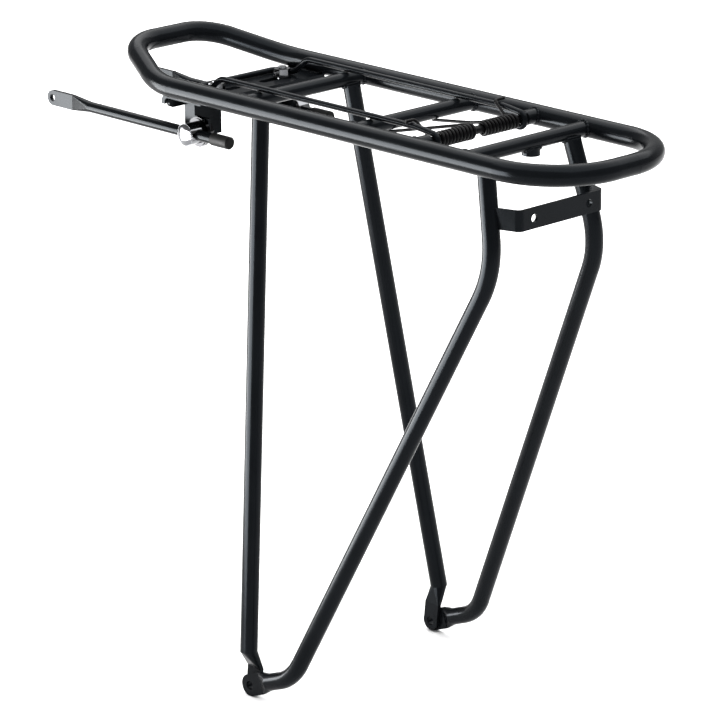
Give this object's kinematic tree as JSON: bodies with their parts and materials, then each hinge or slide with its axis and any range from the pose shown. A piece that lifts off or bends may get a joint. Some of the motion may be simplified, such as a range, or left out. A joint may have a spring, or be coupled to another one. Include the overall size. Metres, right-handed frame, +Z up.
{
  "type": "bicycle rear rack",
  "caption": "Black tubular bicycle rear rack: rounded deck loop on splayed bent legs, with a sprung wire luggage clip, a light bracket and adjustable front stays.",
  "frame": {"origin": "midway between the two foot eyes, on their common bolt axis", "axes": "+X forward along the bicycle, +Y to the rider's left along the foot bolt axis, +Z up to the deck"},
  "size_m": [0.5113, 0.1928, 0.4227],
  "materials": {
    "black_paint": "satin black paint",
    "chrome": "bright plated steel",
    "oiled_steel": "black oxide spring steel",
    "black_rubber": "matt black rubber"
  },
  "bodies": {
    "frame": {"loop_tube": "black_paint", "front_crossbar": "black_paint", "middle_crossbar": "black_paint", "rear_crossbar": "black_paint", "left_front_leg": "black_paint", "right_front_leg": "black_paint", "left_rear_leg": "black_paint", "right_rear_leg": "black_paint", "front_plate": "black_paint", "light_bracket": "black_paint", "mudguard_boss": "black_paint", "left_hinge_boss": "black_paint", "right_hinge_boss": "black_paint", "hinge_rod": "oiled_steel", "left_spring": "oiled_steel", "right_spring": "oiled_steel"},
    "clip": {"clip_frame": "black_paint"},
    "left_hanger": {"left_hanger": "black_paint", "left_hanger_bolt": "chrome", "left_hanger_washer": "chrome", "left_hanger_nut": "chrome"},
    "left_clamp": {"left_eye_bolt": "chrome", "left_cup_washer": "chrome", "left_clamp_nut": "chrome"},
    "left_stay": {"left_stay": "black_paint", "left_stay_cap": "black_rubber"},
    "right_hanger": {"right_hanger": "black_paint", "right_hanger_bolt": "chrome", "right_hanger_washer": "chrome", "right_hanger_nut": "chrome"},
    "right_clamp": {"right_eye_bolt": "chrome", "right_cup_washer": "chrome", "right_clamp_nut": "chrome"},
    "right_stay": {"right_stay": "black_paint", "right_stay_cap": "black_rubber"}
  },
  "joints": [
    {"name": "clip_hinge", "type": "hinge", "parent": "frame", "child": "clip", "pos_m": [-0.1267, 0, 0.3941], "axis": [0, -1, 0], "range_deg": [0, 80], "stiffness_Nm_per_rad": 2.1, "springref_deg": -34.38, "deforming": ["left_spring", "right_spring"]},
    {"name": "left_hanger_slide", "type": "slide", "parent": "frame", "child": "left_hanger", "axis": [0, 1, 0], "range_m": [-0.012, 0.0005]},
    {"name": "left_clamp_turn", "type": "hinge", "parent": "left_hanger", "child": "left_clamp", "pos_m": [0.0951, 0.03, 0.3608], "axis": [0, -1, 0], "range_deg": [-12, 20]},
    {"name": "left_stay_slide", "type": "slide", "parent": "left_clamp", "child": "left_stay", "axis": [1, 0, 0], "range_m": [-0.01, 0.013]},
    {"name": "right_hanger_slide", "type": "slide", "parent": "frame", "child": "right_hanger", "axis": [0, -1, 0], "range_m": [-0.012, 0.0005]},
    {"name": "right_clamp_turn", "type": "hinge", "parent": "right_hanger", "child": "right_clamp", "pos_m": [0.0951, -0.03, 0.3608], "axis": [0, -1, 0], "range_deg": [-12, 20]},
    {"name": "right_stay_slide", "type": "slide", "parent": "right_clamp", "child": "right_stay", "axis": [1, 0, 0], "range_m": [-0.014, 0.009]}
  ]
}
